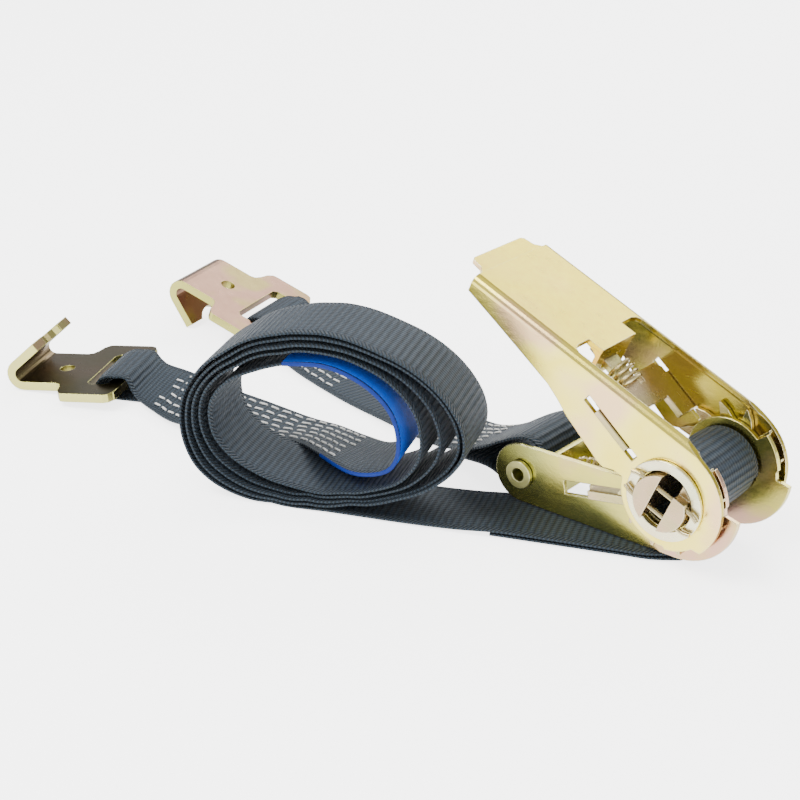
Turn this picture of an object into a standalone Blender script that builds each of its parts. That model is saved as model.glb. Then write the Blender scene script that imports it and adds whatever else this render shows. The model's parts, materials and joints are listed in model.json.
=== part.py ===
"""Ratchet tie down for 25 mm webbing, at rest with the handle part open. Lengths are in millimetres."""

import math

import bmesh
import bpy
from mathutils import Matrix, Vector

MM = 0.001
HUB = Vector((114.77, 2.64, 21.81))      # spool axis above the floor, in the object's frame
FLOOR = -21.8                          # floor height in hub coordinates

FRAME_IN = 13.5                        # inner face of each side plate
FRAME_T = 1.5
GEAR_IN, GEAR_OUT = 15.3, 16.8
HANDLE_IN, HANDLE_OUT = 17.1, 18.6
HANDLE_TILT = 23.0                     # rest angle of the handle above the frame
BORE_R = 8.7
SPOOL_R = 8.3
SLOT_ANGLE = 67.0                      # direction of the webbing slot in the spool
TEETH = 12
TOOTH_TIP, TOOTH_ROOT = 17.2, 12.2
DISC_R = 12.0
BOLT_X, BOLT_Z = -51.5, -9.5
PAWL_ANGLE = 140.0                     # drive pawl direction, from +X towards +Z
LOCK_ANGLE = 10.0
LOCK_TIP = -14.2
WEB_W = 25.0
WEB_T = 1.2
HOOK_T = 3.0
RUN_ANGLE = 22.0
RUN_START = (-94.7, -53.3)

MATERIALS = {
    "zinc_plate": ((0.74, 0.72, 0.52), 1.0, 0.3),
    "zinc_bright": ((0.62, 0.63, 0.58), 1.0, 0.3),
    "spring_steel": ((0.5, 0.5, 0.48), 1.0, 0.3),
    "webbing": ((0.035, 0.042, 0.05), 0.0, 0.8),
    "label": ((0.02, 0.13, 0.6), 0.0, 0.5),
}

for old in list(bpy.data.objects):
    bpy.data.objects.remove(old, do_unlink=True)

root = bpy.data.collections.new("ratchet_tie_down")
cutters = bpy.data.collections.new("cutters")
bpy.context.scene.collection.children.link(root)
bpy.context.scene.collection.children.link(cutters)
cutters.hide_render = True

slots = {}
for slot_name, (colour, metallic, roughness) in MATERIALS.items():
    material = bpy.data.materials.new(slot_name)
    material.use_nodes = True
    shader = material.node_tree.nodes["Principled BSDF"]
    shader.inputs["Base Color"].default_value = (*colour, 1.0)
    shader.inputs["Metallic"].default_value = metallic
    shader.inputs["Roughness"].default_value = roughness
    slots[slot_name] = material


def polar(radius, degrees, cx=0.0, cz=0.0):
    turn = math.radians(degrees)
    return (cx + radius * math.cos(turn), cz + radius * math.sin(turn))


def arc(radius, start, end, steps, cx=0.0, cz=0.0):
    return [polar(radius, start + (end - start) * i / steps, cx, cz) for i in range(steps + 1)]


def circle(radius, steps, cx=0.0, cz=0.0):
    return arc(radius, 0.0, 360.0, steps, cx, cz)[:-1]


def box_outline(x0, x1, y0, y1):
    return [(x0, y0), (x1, y0), (x1, y1), (x0, y1)]


def link(obj, slot=None):
    if slot:
        root.objects.link(obj)
        obj.data.materials.clear()
        obj.data.materials.append(slots[slot])
    else:
        cutters.objects.link(obj)
        obj.hide_render = True
        obj.display_type = "WIRE"
    return obj


def mesh_from_curve(curve, name):
    """The solid that a filled or bevelled curve makes, as a plain mesh with its seams welded."""
    holder = bpy.data.objects.new(name + "_curve", curve)
    bpy.context.scene.collection.objects.link(holder)
    graph = bpy.context.evaluated_depsgraph_get()
    mesh = bpy.data.meshes.new_from_object(holder.evaluated_get(graph))
    bpy.data.objects.remove(holder, do_unlink=True)
    mesh.name = name
    work = bmesh.new()
    work.from_mesh(mesh)
    bmesh.ops.remove_doubles(work, verts=work.verts, dist=2e-6)
    bmesh.ops.recalc_face_normals(work, faces=work.faces)
    work.to_mesh(mesh)
    work.free()
    return mesh


# Rotations that lay a flat XY outline into the plane it belongs to.
UPRIGHT = Matrix(((1, 0, 0, 0), (0, 0, -1, 0), (0, 1, 0, 0), (0, 0, 0, 1)))


def plate(name, outlines, low, high, slot=None, frame=UPRIGHT):
    """A flat plate. frame takes its own XY outline to hub coordinates; low and high are along its own Z."""
    curve = bpy.data.curves.new(name, "CURVE")
    curve.dimensions = "2D"
    curve.fill_mode = "BOTH"
    curve.extrude = (high - low) / 2 * MM
    for outline in outlines:
        spline = curve.splines.new("POLY")
        spline.points.add(len(outline) - 1)
        for point, (x, y) in zip(spline.points, outline):
            point.co = (x * MM, y * MM, 0.0, 1.0)
        spline.use_cyclic_u = True
    mesh = mesh_from_curve(curve, name)
    mesh.transform(Matrix.Translation((0, 0, (low + high) / 2 * MM)))
    turned = frame.copy()
    turned.translation = turned.translation * MM
    mesh.transform(turned)
    mesh.transform(Matrix.Translation(HUB * MM))
    return link(bpy.data.objects.new(name, mesh), slot)


def side_plate(name, outlines, y_low, y_high, slot=None, tilt=0.0):
    """A plate whose outline is (x, z), standing between two y values, turned about the hub by tilt."""
    turn = Matrix.Rotation(math.radians(tilt), 4, "Y")
    return plate(name, outlines, -y_high, -y_low, slot, turn @ UPRIGHT)


def wire(name, points, radius, slot=None, sides=8):
    """A round wire along straight steps between points in hub coordinates."""
    curve = bpy.data.curves.new(name, "CURVE")
    curve.dimensions = "3D"
    curve.bevel_depth = radius * MM
    curve.bevel_resolution = (sides - 4) // 2
    curve.use_fill_caps = True
    spline = curve.splines.new("POLY")
    spline.points.add(len(points) - 1)
    for point, at in zip(spline.points, points):
        place = (Vector(at) + HUB) * MM
        point.co = (*place, 1.0)
    mesh = mesh_from_curve(curve, name)
    obj = link(bpy.data.objects.new(name, mesh), slot)
    for face in mesh.polygons:
        face.use_smooth = len(face.vertices) == 4
    return obj


def coil(name, start, direction, length, radius, wire_r, turns, slot, per_turn=14):
    """A helical spring from start along direction."""
    ahead = Vector(direction).normalized()
    side = Vector((0, 1, 0))
    other = ahead.cross(side)
    points = []
    steps = int(turns * per_turn)
    for i in range(steps + 1):
        turn = 2 * math.pi * i / per_turn
        along = ahead * (length * i / steps)
        points.append(Vector(start) + along + (side * math.cos(turn) + other * math.sin(turn)) * radius)
    return wire(name, points, wire_r, slot, 6)


def eased(stations, steps):
    """More stations along the smooth curves that pass through these ones."""
    near_edge = [Vector(a) for a, b in stations]
    far_edge = [Vector(b) for a, b in stations]
    result = []
    for i in range(len(stations) - 1):
        for step in range(steps):
            t = step / steps
            pair = []
            for edge in (near_edge, far_edge):
                a, b, c, d = edge[max(i - 1, 0)], edge[i], edge[i + 1], edge[min(i + 2, len(edge) - 1)]
                cubic = (3 * b - a - 3 * c + d) * t ** 3
                pair.append((2 * b + (c - a) * t + (2 * a - 5 * b + 4 * c - d) * t * t + cubic) / 2)
            result.append(tuple(pair))
    return result + [(near_edge[-1], far_edge[-1])]


def ribbon(name, stations, slot, thickness=WEB_T):
    """Webbing lofted through stations, each the middle of its near edge and of its far edge."""
    work = bmesh.new()
    middles = [(Vector(a) + Vector(b)) / 2 for a, b in stations]
    rings = []
    for i, (a, b) in enumerate(stations):
        ahead = middles[min(i + 1, len(stations) - 1)] - middles[max(i - 1, 0)]
        across = Vector(b) - Vector(a)
        lift = ahead.cross(across).normalized() * (thickness / 2)
        corners = [Vector(a) + lift, Vector(b) + lift, Vector(b) - lift, Vector(a) - lift]
        rings.append([work.verts.new((corner + HUB) * MM) for corner in corners])
    for first, second in zip(rings, rings[1:]):
        for i in range(4):
            j = (i + 1) % 4
            work.faces.new((first[i], first[j], second[j], second[i]))
    work.faces.new(rings[0])
    work.faces.new(rings[-1])
    bmesh.ops.recalc_face_normals(work, faces=work.faces)
    mesh = bpy.data.meshes.new(name)
    work.to_mesh(mesh)
    work.free()
    return link(bpy.data.objects.new(name, mesh), slot)


def combine(obj, cutter, operation):
    """Applies one exact Boolean and removes the cutter."""
    modifier = obj.modifiers.new("combine", "BOOLEAN")
    modifier.operation = operation
    modifier.solver = "EXACT"
    modifier.object = cutter
    graph = bpy.context.evaluated_depsgraph_get()
    mesh = bpy.data.meshes.new_from_object(obj.evaluated_get(graph))
    obj.modifiers.clear()
    keep = obj.data.materials[0] if obj.data.materials else None
    obj.data = mesh
    obj.data.materials.clear()
    if keep:
        obj.data.materials.append(keep)
    for face in obj.data.polygons:
        face.material_index = 0
    bpy.data.objects.remove(cutter, do_unlink=True)
    return obj


def pivot(obj, at):
    """Puts the object's origin on a point in hub coordinates."""
    place = (Vector(at) + HUB) * MM
    obj.data.transform(Matrix.Translation(-place))
    obj.location = place
    return obj


def soften(obj, width):
    modifier = obj.modifiers.new("edge", "BEVEL")
    modifier.width = width * MM
    modifier.segments = 1
    modifier.limit_method = "ANGLE"
    modifier.angle_limit = math.radians(50)
    return obj


# ---- Frame -------------------------------------------------------------------------------------

frame_outline = (
    arc(9.2, 95, 265, 12, BOLT_X, BOLT_Z)
    + arc(19.0, 270, 353, 14, 2.0, 0.0)
    + [(18.2, -1.6), (16.6, -1.2), (16.4, 0.9)]
    + arc(17.0, 6, 43, 6)
    + arc(13.3, 45, 148, 12)
    + [(-13.6, 0.6)]
)
lock_slot = [(-35.6, -11.2), (-8.6, -6.45), (-9.3, -2.3), (-36.3, -7.1)]
for side, y0 in (("near", -FRAME_IN - FRAME_T), ("far", FRAME_IN)):
    soften(side_plate(
        "frame_plate_" + side,
        [frame_outline, circle(BORE_R, 40), lock_slot, circle(3.3, 20, BOLT_X, BOLT_Z)],
        y0, y0 + FRAME_T, "zinc_plate",
    ), 0.2)

side_plate("frame_bridge", [box_outline(-44.6, -42.8, -17.2, -3.2)], -13.2, 13.2, "zinc_plate")

bolt = side_plate("frame_bolt", [circle(3.0, 24, BOLT_X, BOLT_Z)], -15.6, 15.6, "zinc_bright")
for side in (-1, 1):
    ends = sorted((side * 15.3, side * 16.6))
    head = side_plate("bolt_head", [circle(4.3, 24, BOLT_X, BOLT_Z)], ends[0], ends[1])
    combine(bolt, head, "UNION")
combine(bolt, side_plate("bolt_bore", [circle(2.1, 20, BOLT_X, BOLT_Z)], -18.0, 18.0), "DIFFERENCE")

# ---- Spool: two D shafts, gears, discs and pins -------------------------------------------------

spool_parts = []
for index, turn in (("a", SLOT_ANGLE), ("b", SLOT_ANGLE + 180)):
    half = side_plate(
        "spool_half_" + index, [arc(SPOOL_R, turn + 20.0, turn + 160.0, 18)], -22.4, 22.4, "zinc_bright")
    for y in (-21.2, 21.2):
        for offset in (-3.4, 3.4):
            x, z = polar(offset, SLOT_ANGLE)
            across = math.radians(SLOT_ANGLE - 90)
            ends = [(x + d * math.cos(across), y, z + d * math.sin(across)) for d in (-12.0, 12.0)]
            combine(half, wire("pin_hole", ends, 0.95, None, 12), "DIFFERENCE")
    if index == "b":
        # One corner of this half is cut back at the near end.
        corner = [polar(5.0, SLOT_ANGLE), polar(16.0, SLOT_ANGLE), polar(20.0, SLOT_ANGLE - 45), polar(13.0, SLOT_ANGLE - 67.4)]
        combine(half, side_plate("corner", [corner], -24.0, -19.4), "DIFFERENCE")
    spool_parts.append(half)

tooth_step = 360.0 / TEETH
gear_outline = []
for tooth in range(TEETH):
    face = 15.4 + tooth * tooth_step
    gear_outline += [polar(TOOTH_ROOT, face + 1.5), polar(TOOTH_ROOT, face + 11.0)]
    gear_outline += [polar(14.9, face + 20.0), polar(TOOTH_TIP, face + 28.0), polar(TOOTH_TIP, face + 30.0)]
spool_bore = circle(SPOOL_R + 0.3, 40)
for side, y0 in (("near", -GEAR_OUT), ("far", GEAR_IN)):
    spool_parts.append(side_plate(
        "gear_" + side, [gear_outline, spool_bore], y0, y0 + GEAR_OUT - GEAR_IN, "zinc_bright"))
for side, y0 in (("near", -20.1), ("far", 18.9)):
    spool_parts.append(soften(side_plate(
        "disc_" + side, [circle(DISC_R, 40), circle(9.0, 36)], y0, y0 + 1.2, "zinc_bright"), 0.15))
for side, y in (("near", -21.2), ("far", 21.2)):
    for index, offset in ((1, -3.4), (2, 3.4)):
        x, z = polar(offset, SLOT_ANGLE)
        across = math.radians(SLOT_ANGLE - 90)
        outward = math.copysign(1.0, offset)
        bend_x, bend_z = polar(outward * 0.9, SLOT_ANGLE)
        points = []
        for d, bend in ((-11.6, 1.0), (-10.0, 0.25), (-9.0, 0.0), (9.0, 0.0), (10.0, 0.25), (11.6, 1.0)):
            points.append((x + d * math.cos(across) - bend * bend_x, y, z + d * math.sin(across) - bend * bend_z))
        spool_parts.append(wire("pin_%s_%d" % (side, index), points, 0.65, "spring_steel"))
spool_parts.append(side_plate(
    "spool_webbing", [circle(11.2, 40), circle(SPOOL_R + 0.3, 36)], -12.5, 12.5, "webbing"))
for obj in spool_parts:
    pivot(obj, (0, 0, 0))

# ---- Handle --------------------------------------------------------------------------------------

top = 19.4
channel_half = [(18.6, -26.0)] + arc(2.6, 0, 90, 5, 16.0, top - 2.6)
inner_half = arc(1.1, 90, 0, 4, 16.0, top - 2.6) + [(17.1, -26.0)]
channel = channel_half + [(-y, z) for y, z in reversed(channel_half)]
channel += [(-y, z) for y, z in reversed(inner_half)] + inner_half
ALONG = Matrix(((0, 0, 1, 0), (1, 0, 0, 0), (0, 1, 0, 0), (0, 0, 0, 1)))
tilted = Matrix.Rotation(math.radians(HANDLE_TILT), 4, "Y")
handle = plate("handle", [channel], -81.5, 20.0, "zinc_plate", tilted @ ALONG)
cam = arc(14.6, 193, 293, 14) + arc(15.4, 295, 329, 6) + arc(17.5, 335, 432, 14)
silhouette = (
    [(-90, 24), (-90, 16.0), (-81.9, 14.2), (-68.6, 11.1), (-55.5, 7.9), (-46.7, 5.7), (-41.8, 3.5)]
    + [(-37.7, 1.2), (-30.2, -1.8), (-22.8, -4.7), (-20.7, -5.0), (-17.5, -3.5)]
    + cam + [(-2.7, 19.0), (-4.5, 20.4), (-4.5, 24)]
)
combine(handle, side_plate("silhouette", [silhouette], -25.0, 25.0, None, HANDLE_TILT), "INTERSECT")
FLAT = Matrix.Identity(4)
tab_half = [(-76.0, 15.0), (-81.5, 15.0), (-83.4, 12.9), (-86.8, 12.3), (-87.6, 11.2)]
tab = tab_half + [(x, -y) for x, y in reversed(tab_half)]
combine(handle, plate("tab", [tab], 17.95, top - 0.05, None, tilted @ FLAT), "UNION")
lug = [(-41.7, 8.5), (-40.2, 8.5), (-40.2, 18.0), (-44.8, 18.0), (-45.6, 19.2), (-47.5, 19.2), (-47.5, 17.95),
       (-43.0, 16.9), (-41.7, 15.6)]
combine(handle, side_plate("lug", [lug], -8.0, 8.0, None, HANDLE_TILT), "UNION")
window = [(-45.4, -13.6), (-44.6, -15.4), (-43.0, -16.2), (40.0, -16.2), (40.0, 16.2), (-43.0, 16.2),
          (-44.6, 15.4), (-45.4, 13.6), (-45.4, 8.3), (-39.9, 8.3), (-39.9, -8.3), (-45.4, -8.3)]
combine(handle, plate("window", [window], 12.0, 30.0, None, tilted @ FLAT), "DIFFERENCE")
tongue_hole = box_outline(-4.1, 4.1, 10.6, 14.4)
combine(handle, plate("tongue_hole", [tongue_hole], -43.5, -38.0, None, tilted @ ALONG), "DIFFERENCE")
combine(handle, side_plate("handle_bore", [circle(BORE_R, 40)], -25.0, 25.0, None, HANDLE_TILT), "DIFFERENCE")
pawl_slot = box_outline(14.0, 35.8, -1.3, 1.3)
turned = Matrix.Rotation(math.radians(-PAWL_ANGLE), 4, "Y") @ UPRIGHT
combine(handle, plate("pawl_slot", [pawl_slot], -25.0, 25.0, None, turned), "DIFFERENCE")
pivot(handle, (0, 0, 0))

# ---- Drive pawl and its spring ------------------------------------------------------------------

pawl_half = [(3.2, 48.0), (3.2, 31.5), (5.5, 31.5), (5.5, 35.0), (14.5, 35.0), (16.2, 33.0), (16.2, 31.0),
             (19.2, 31.0), (19.2, 17.5), (9.5, 17.5), (9.5, 24.5)]
pawl_outline = [(r, y) for y, r in pawl_half] + [(r, -y) for y, r in reversed(pawl_half)]
radial = Matrix.Rotation(math.radians(-PAWL_ANGLE), 4, "Y")
drive_pawl = soften(plate("drive_pawl", [pawl_outline], -1.0, 1.0, "zinc_plate", radial), 0.2)
pivot(drive_pawl, (0, 0, 0))
out_x, out_z = polar(1.0, PAWL_ANGLE)
start = polar(32.6, PAWL_ANGLE)
drive_spring = coil("drive_spring", (start[0], 0, start[1]), (out_x, 0, out_z), 6.7, 4.6, 0.45, 3.0, "spring_steel")

# ---- Lock pawl and its spring -------------------------------------------------------------------

lock_turn = Matrix.Rotation(math.radians(-LOCK_ANGLE), 4, "Y")
lock_turn.translation = Vector((0.556, 0.0, -3.15))
lock_half = [(-36.5, 2.4), (-29.6, 2.4), (-29.6, 12.9), (-27.5, 12.9), (-27.5, 17.0), (LOCK_TIP, 17.0),
             (LOCK_TIP, 9.0), (LOCK_TIP - 1.2, 7.5)]
lock_outline = lock_half + [(s, -y) for s, y in reversed(lock_half)]
lock_pawl = plate("lock_pawl", [lock_outline], -1.25, 1.25, "zinc_plate", lock_turn)
pivot(lock_pawl, (-20.0, 0.0, -6.7))
lead_x, lead_z = polar(1.0, LOCK_ANGLE)
seat = (0.556 - 41.6 * lead_x, 0.0, -3.15 - 41.6 * lead_z)
lock_spring = coil("lock_spring", seat, (lead_x, 0, lead_z), 11.0, 3.7, 0.45, 5.0, "spring_steel")

# ---- Hooks --------------------------------------------------------------------------------------


def hook(name, frame):
    """A bent plate hook. Its own X runs from the bend to the outer bar, whose middle is the origin."""
    arm_x, bend_r, half = -33.7, 5.5, HOOK_T / 2
    fold = 142.0
    cz = bend_r - half
    leg = 11.5
    outer = arc(bend_r, 270, 270 - fold, 8, arm_x, cz)
    inner = arc(bend_r - HOOK_T, 270 - fold, 270, 8, arm_x, cz)
    run = math.radians(180 - fold)
    step = (leg * math.cos(run), leg * math.sin(run))
    tip = [(outer[-1][0] + step[0], outer[-1][1] + step[1]), (inner[0][0] + step[0], inner[0][1] + step[1])]
    profile = [(2.5, -half)] + outer + tip + inner + [(2.5, half)]
    body = plate(name, [profile], -22.0, 22.0, "zinc_plate", frame @ UPRIGHT)
    neck = [(-60, 13.3), (-21.4, 13.3), (-19.8, 14.0), (-18.7, 16.2), (-17.9, 19.6), (-16.4, 21.7), (-14.2, 22.2)]
    neck += [(-1.0, 22.2), (1.2, 21.2), (2.2, 19.2), (3.2, 18.6)]
    plan = neck + [(x, -y) for x, y in reversed(neck)]
    combine(body, plate("hook_plan", [plan], -10.0, 40.0, None, frame), "INTERSECT")
    slot_half = [(-10.2, 11.6), (-8.8, 13.2), (-3.7, 13.2), (-2.5, 12.0)]
    slot = slot_half + [(x, -y) for x, y in reversed(slot_half)]
    combine(body, plate("hook_slot", [slot], -5.0, 5.0, None, frame), "DIFFERENCE")
    combine(body, plate("hook_hole", [circle(2.6, 20, -23.2, 0.0)], -5.0, 5.0, None, frame), "DIFFERENCE")
    # A rounded notch in the end of the leg leaves two short prongs.
    base = Vector((outer[-1][0] + inner[0][0], 0, outer[-1][1] + inner[0][1])) / 2
    leg_frame = frame @ Matrix.Translation(base) @ Matrix.Rotation(-run, 4, "Y")
    notch_half = [(8.2, 0.0), (8.5, 2.5), (9.4, 4.6), (11.0, 6.2), (30.0, 7.4)]
    notch = notch_half + [(x, -y) for x, y in reversed(notch_half[1:])]
    combine(body, plate("hook_notch", [notch], -2.6, 2.6, None, leg_frame), "DIFFERENCE")
    return body


def hook_frame(at, azimuth, pitch, roll):
    place = Matrix.Translation(Vector(at))
    turn = Matrix.Rotation(math.radians(azimuth), 4, "Z")
    return place @ turn @ Matrix.Rotation(math.radians(pitch), 4, "Y") @ Matrix.Rotation(math.radians(roll), 4, "X")


BAR_1 = (-209.0, -26.3, FLOOR + 4.6)
BAR_2 = (-205.2, 43.7, FLOOR + 5.0)
HOOK_1_TURN, HOOK_2_TURN = 24.2, 11.9
pivot(hook("hook_1", hook_frame(BAR_1, HOOK_1_TURN, -4.8, 0.0)), BAR_1)
pivot(hook("hook_2", hook_frame(BAR_2, HOOK_2_TURN, 19.8, 180.0)), BAR_2)

# ---- Webbing ------------------------------------------------------------------------------------

run_u = Vector((math.cos(math.radians(RUN_ANGLE)), math.sin(math.radians(RUN_ANGLE)), 0.0))
run_v = Vector((-run_u.y, run_u.x, 0.0))


def run_point(t, across, height):
    return Vector((*RUN_START, FLOOR + height)) + run_u * t + run_v * across


def upturn(radius, end, steps):
    """The webbing turned up under the spool, swinging to lie square with it."""
    stations = []
    for i in range(1, steps + 1):
        climb = (end + 90) * i / steps
        turn = math.radians(climb - 90)
        square = math.radians(RUN_ANGLE * max(0.0, 1 - climb / 130))
        across = Vector((-math.sin(square), math.cos(square), 0)) * (WEB_W / 2)
        middle = Vector((-3.5 + radius * math.cos(turn), 0.0, -15.9 + radius * math.sin(turn)))
        stations.append((middle - across, middle + across))
    return stations


upper, lower = 2.1, 0.6
stations = [(run_point(t, 0.0, upper), run_point(t, WEB_W, upper)) for t in (3.0, 40.0, 80.0, 99.5)]
ribbon("strap_run", stations + upturn(3.8, 90, 9) + [((-7.2, -12.5, -11.6), (-7.2, 12.5, -11.6))], "webbing")
stations = [(run_point(t, 0.6, lower), run_point(t, WEB_W + 0.6, lower)) for t in (52.0, 80.0, 99.5)]
ribbon("strap_tail", stations + upturn(5.4, 45, 6), "webbing")

roll_outer = [(0, 0), (-15.6, 0.1), (-27.6, 1.3), (-36.2, 5), (-41.8, 10.6), (-45, 18.2), (-45.9, 26.3),
              (-44.5, 33), (-40, 40), (-31.4, 47.5), (-25.6, 51.7), (-16.2, 55), (-6.9, 56.9), (5.2, 56.8),
              (14.5, 53.7), (23.1, 49.9), (32, 43.4), (37.4, 36.4), (40.2, 28.9), (38.8, 22.4), (35.3, 17.7),
              (29.2, 12.2), (20.1, 7.2), (7.6, 3.6), (2.6, 2.8), (2.2, 0.0)]
roll_inner = [(-12.7, 46.0), (-26.0, 42.0), (-32.5, 37.6), (-36.2, 32.0), (-37.4, 26.0), (-36.0, 20.0),
              (-31.5, 13.5), (-25.0, 9.6), (-15.5, 7.4), (-4.5, 8.2), (6.0, 11.0), (15.0, 15.4), (20.4, 21.0),
              (21.9, 27.5), (20.0, 34.5), (14.8, 40.4), (7.5, 44.6), (-1.2, 46.4)]
STANDING = Matrix.Translation(Vector((*RUN_START, FLOOR))) @ Matrix.Rotation(math.radians(RUN_ANGLE), 4, "Z") @ UPRIGHT
plate("strap_roll", [roll_outer, roll_inner], -WEB_W, 0.0, "webbing", STANDING)


def loop_with(name, at, azimuth, band):
    """A webbing loop round a hook's bar, joined to the band that leaves it."""
    turn = Matrix.Translation(Vector(at)) @ Matrix.Rotation(math.radians(azimuth), 4, "Z") @ UPRIGHT
    ring = plate(name + "_loop", [circle(4.5, 24), circle(3.3, 24)], -WEB_W / 2, WEB_W / 2, None, turn)
    combine(band, ring, "UNION")


turn_1 = math.radians(HOOK_1_TURN)
ahead_1 = Vector((math.cos(turn_1), math.sin(turn_1), 0))
wide_1 = Vector((-ahead_1.y, ahead_1.x, 0)) * (WEB_W / 2)
exit_1 = Vector(BAR_1) + ahead_1 * 3.9
inner_strap = ribbon("strap_inner", eased([
    (exit_1 - wide_1, exit_1 + wide_1),
    ((-196.0, -36.2, -18.6), (-204.9, -13.0, -17.0)),
    ((-186.0, -38.0, -20.2), (-191.8, -14.6, -15.6)),
    ((-171.0, -41.0, -19.6), (-172.0, -16.6, -15.0)),
    ((-152.0, -40.6, -16.4), (-154.0, -15.8, -15.6)),
    ((-135.8, -39.2, -13.0), (-137.4, -14.6, -15.6)),
    ((-124.0, -36.6, -13.0), (-113.4, -14.4, -13.0)),
    ((-118.6, -33.8, -12.6), (-97.6, -21.4, -9.6)),
], 4), "webbing")
loop_with("strap_inner", BAR_1, HOOK_1_TURN, inner_strap)
pivot(inner_strap, BAR_1)

turn_2 = math.radians(HOOK_2_TURN)
ahead_2 = Vector((math.cos(turn_2), math.sin(turn_2), 0))
wide_2 = Vector((-ahead_2.y, ahead_2.x, 0)) * (WEB_W / 2)
exit_2 = Vector(BAR_2) + ahead_2 * 3.9
short_strap = ribbon("short_strap", [
    (exit_2 - wide_2, exit_2 + wide_2),
    ((-193.0, 29.8, -18.4), (-193.6, 54.8, -18.4)),
    ((-178.6, 19.4, -20.0), (-172.8, 43.6, -20.0)),
    ((-148.0, 10.8, -20.8), (-142.0, 35.1, -20.8)),
    ((-120.0, 4.8, -20.2), (-114.0, 29.0, -20.2)),
    ((-97.0, -2.6, -17.6), (-90.8, 21.6, -17.6)),
    ((-83.0, -8.0, -13.6), (-79.0, 16.6, -13.6)),
    ((-70.5, -11.6, -8.4), (-69.0, 13.2, -8.4)),
    ((-61.0, -12.5, -3.0), (-61.0, 12.5, -3.0)),
    ((-54.5, -12.5, 0.2), (-54.5, 12.5, 0.2)),
    ((-49.5, -12.5, 0.6), (-49.5, 12.5, 0.6)),
    ((-46.3, -12.5, -2.4), (-46.3, 12.5, -2.4)),
    ((-45.9, -12.5, -8.0), (-45.9, 12.5, -8.0)),
    ((-47.2, -12.5, -13.4), (-47.2, 12.5, -13.4)),
    ((-51.5, -12.5, -16.2), (-51.5, 12.5, -16.2)),
    ((-58.0, -12.5, -15.4), (-58.0, 12.5, -15.4)),
    ((-66.0, -12.2, -12.6), (-66.0, 12.4, -12.6)),
    ((-75.0, -11.9, -13.1), (-74.0, 12.4, -13.1)),
], "webbing")
loop_with("short_strap", BAR_2, HOOK_2_TURN, short_strap)
pivot(short_strap, BAR_2)

# The label lies on the innermost turn of the roll.
label = [(19.6, 27.5), (18.2, 34.0), (13.4, 39.2), (6.6, 43.0), (-1.6, 44.6)]
label_back = [(19.0, 27.5), (17.6, 33.8), (13.0, 38.7), (6.4, 42.4), (-1.6, 44.0)]
plate("label", [label + label_back[::-1]], -21.0, -2.0, "label", STANDING)

for obj in root.objects:
    if obj.name in ("handle", "spool_half_a", "spool_half_b", "frame_bolt", "hook_1", "hook_2", "strap_roll"):
        for face in obj.data.polygons:
            face.use_smooth = True
        obj.data.set_sharp_from_angle(angle=math.radians(32))
    elif obj.name.startswith(("gear", "disc", "spool_webbing", "frame_plate", "label")):
        for face in obj.data.polygons:
            face.use_smooth = True
        obj.data.set_sharp_from_angle(angle=math.radians(32))
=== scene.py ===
import json
import math

import bpy
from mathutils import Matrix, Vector


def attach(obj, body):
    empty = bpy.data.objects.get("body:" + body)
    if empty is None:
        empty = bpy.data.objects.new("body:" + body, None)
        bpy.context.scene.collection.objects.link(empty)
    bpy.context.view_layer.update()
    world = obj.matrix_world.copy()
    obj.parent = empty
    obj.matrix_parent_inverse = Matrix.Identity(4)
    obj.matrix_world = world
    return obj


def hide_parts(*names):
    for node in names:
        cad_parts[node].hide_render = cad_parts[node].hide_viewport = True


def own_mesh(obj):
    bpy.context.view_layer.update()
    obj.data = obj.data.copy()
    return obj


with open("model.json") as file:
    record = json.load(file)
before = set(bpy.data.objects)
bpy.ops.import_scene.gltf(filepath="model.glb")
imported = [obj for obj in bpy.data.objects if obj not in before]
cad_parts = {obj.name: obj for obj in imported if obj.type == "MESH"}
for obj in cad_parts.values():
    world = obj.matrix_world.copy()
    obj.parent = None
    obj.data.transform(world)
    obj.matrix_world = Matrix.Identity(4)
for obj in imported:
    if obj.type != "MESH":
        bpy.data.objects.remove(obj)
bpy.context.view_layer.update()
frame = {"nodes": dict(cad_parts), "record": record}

MM = 0.001
joints = {joint["name"]: joint for joint in frame["record"]["behaviour"]["joints"]}
HUB = Vector(joints["handle_hinge"]["pos_m"]) / MM      # every length below is in mm, from the hub
FLOOR = -HUB.z
BAR_1 = Vector(joints["hook_1_hinge"]["pos_m"]) / MM - HUB
BAR_2 = Vector(joints["hook_2_hinge"]["pos_m"]) / MM - HUB
WEB_W, WEB_T = 25.0, 1.15
# The long strap's run on the floor: its direction, the direction across it, and the foot of the roll.
RUN_ANGLE = math.radians(22.0)
RUN_U = Vector((math.cos(RUN_ANGLE), math.sin(RUN_ANGLE), 0.0))
RUN_V = Vector((-RUN_U.y, RUN_U.x, 0.0))
RUN_START = Vector((-94.7, -53.3, FLOOR))


# ---- Materials -----------------------------------------------------------------------------------

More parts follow.
